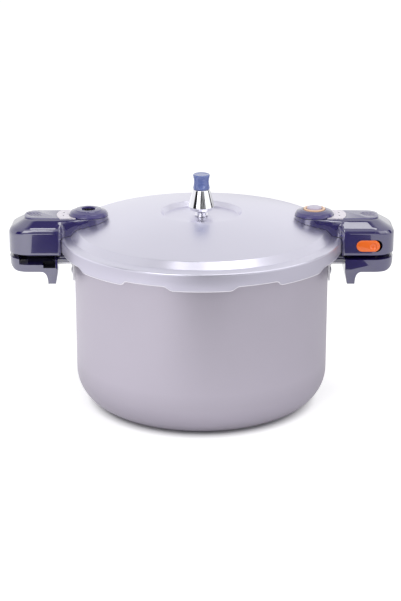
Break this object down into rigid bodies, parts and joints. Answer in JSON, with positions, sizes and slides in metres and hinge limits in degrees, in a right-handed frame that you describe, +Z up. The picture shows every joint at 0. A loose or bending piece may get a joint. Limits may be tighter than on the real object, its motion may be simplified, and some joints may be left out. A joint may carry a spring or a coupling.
{
  "type": "pressure cooker",
  "caption": "Lidded stovetop pressure cooker: round pot with bayonet lid, two side handles, weighted regulator, pressure indicator, safety valve and lock slide.",
  "frame": {"origin": "middle of the pot's flat base", "axes": "+X through the right hand handle, +Y to the back, +Z up through the regulator"},
  "size_m": [0.4, 0.294, 0.2437],
  "materials": {
    "pot_aluminium": "satin mauve-grey anodised",
    "lid_aluminium": "satin silver-lilac anodised",
    "bracket_steel": "plain pressed steel",
    "fastener_steel": "bright turned steel",
    "handle_plastic": "glossy navy moulding",
    "cover_plastic": "matt dark navy moulding",
    "gasket_rubber": "matt grey silicone",
    "label_silver": "satin silver-lilac",
    "ring_plastic": "glossy peach moulding",
    "button_plastic": "glossy pale lilac moulding",
    "valve_brass": "turned brass",
    "lock_plastic": "glossy orange moulding",
    "regulator_chrome": "polished chrome plate",
    "knob_plastic": "glossy blue-grey moulding"
  },
  "bodies": {
    "pot": {"pot_body": "pot_aluminium", "right_pot_bracket": "bracket_steel", "left_pot_bracket": "bracket_steel", "right_pot_rivet_a": "fastener_steel", "right_pot_rivet_b": "fastener_steel", "left_pot_rivet_a": "fastener_steel", "left_pot_rivet_b": "fastener_steel", "right_pot_handle": "handle_plastic", "left_pot_handle": "handle_plastic", "right_pot_handle_screw": "fastener_steel", "left_pot_handle_screw": "fastener_steel"},
    "lid": {"lid_shell": "lid_aluminium", "lid_gasket": "gasket_rubber", "right_lid_handle": "handle_plastic", "left_lid_handle": "handle_plastic", "right_handle_cover": "cover_plastic", "left_handle_cover": "cover_plastic", "right_cover_screw_a": "fastener_steel", "right_cover_screw_b": "fastener_steel", "left_cover_screw_a": "fastener_steel", "left_cover_screw_b": "fastener_steel", "right_lid_handle_screw_a": "fastener_steel", "right_lid_handle_screw_b": "fastener_steel", "left_lid_handle_screw_a": "fastener_steel", "left_lid_handle_screw_b": "fastener_steel", "right_handle_inlay": "handle_plastic", "left_handle_inlay": "handle_plastic", "right_label_plate": "label_silver", "left_label_plate": "label_silver", "indicator_cap": "handle_plastic", "indicator_ring": "ring_plastic", "indicator_housing": "fastener_steel", "indicator_nut": "fastener_steel", "indicator_gasket": "gasket_rubber", "vent_cap": "handle_plastic", "vent_grille": "cover_plastic", "safety_valve_body": "valve_brass", "safety_valve_nut": "fastener_steel", "safety_valve_gasket": "gasket_rubber", "safety_valve_spring": "fastener_steel", "safety_valve_retainer": "fastener_steel", "vent_pipe": "regulator_chrome", "vent_pipe_washer": "gasket_rubber", "vent_pipe_nut": "fastener_steel", "vent_filter": "fastener_steel"},
    "indicator": {"indicator_button": "button_plastic", "indicator_float": "fastener_steel", "indicator_seal": "gasket_rubber"},
    "safety_plunger": {"safety_valve_plunger": "valve_brass"},
    "lock": {"lock_button": "lock_plastic", "lock_bolt": "fastener_steel"},
    "clip": {"regulator_clip": "fastener_steel"},
    "regulator": {"regulator_weight": "regulator_chrome", "regulator_needle": "fastener_steel", "regulator_knob": "knob_plastic"}
  },
  "joints": [
    {"name": "lid_turn", "type": "hinge", "parent": "pot", "child": "lid", "pos_m": [0, 0, 0.17], "axis": [0, 0, 1], "range_deg": [0, 22]},
    {"name": "lock_slide", "type": "slide", "parent": "lid", "child": "lock", "axis": [1, 0, 0], "range_m": [0, 0.0025]},
    {"name": "indicator_rise", "type": "slide", "parent": "lid", "child": "indicator", "axis": [0, 0, 1], "range_m": [0, 0.004]},
    {"name": "safety_valve_lift", "type": "slide", "parent": "lid", "child": "safety_plunger", "axis": [0, 0, 1], "range_m": [0, 0.003], "stiffness_N_per_m": 1200, "springref_m": -0.002, "deforming": ["safety_valve_spring"]},
    {"name": "regulator_lift", "type": "slide", "parent": "lid", "child": "clip", "axis": [0, 0, 1], "range_m": [0, 0.03]},
    {"name": "regulator_spin", "type": "hinge", "parent": "clip", "child": "regulator", "pos_m": [0, 0, 0.21], "axis": [0, 0, 1], "continuous": true}
  ]
}
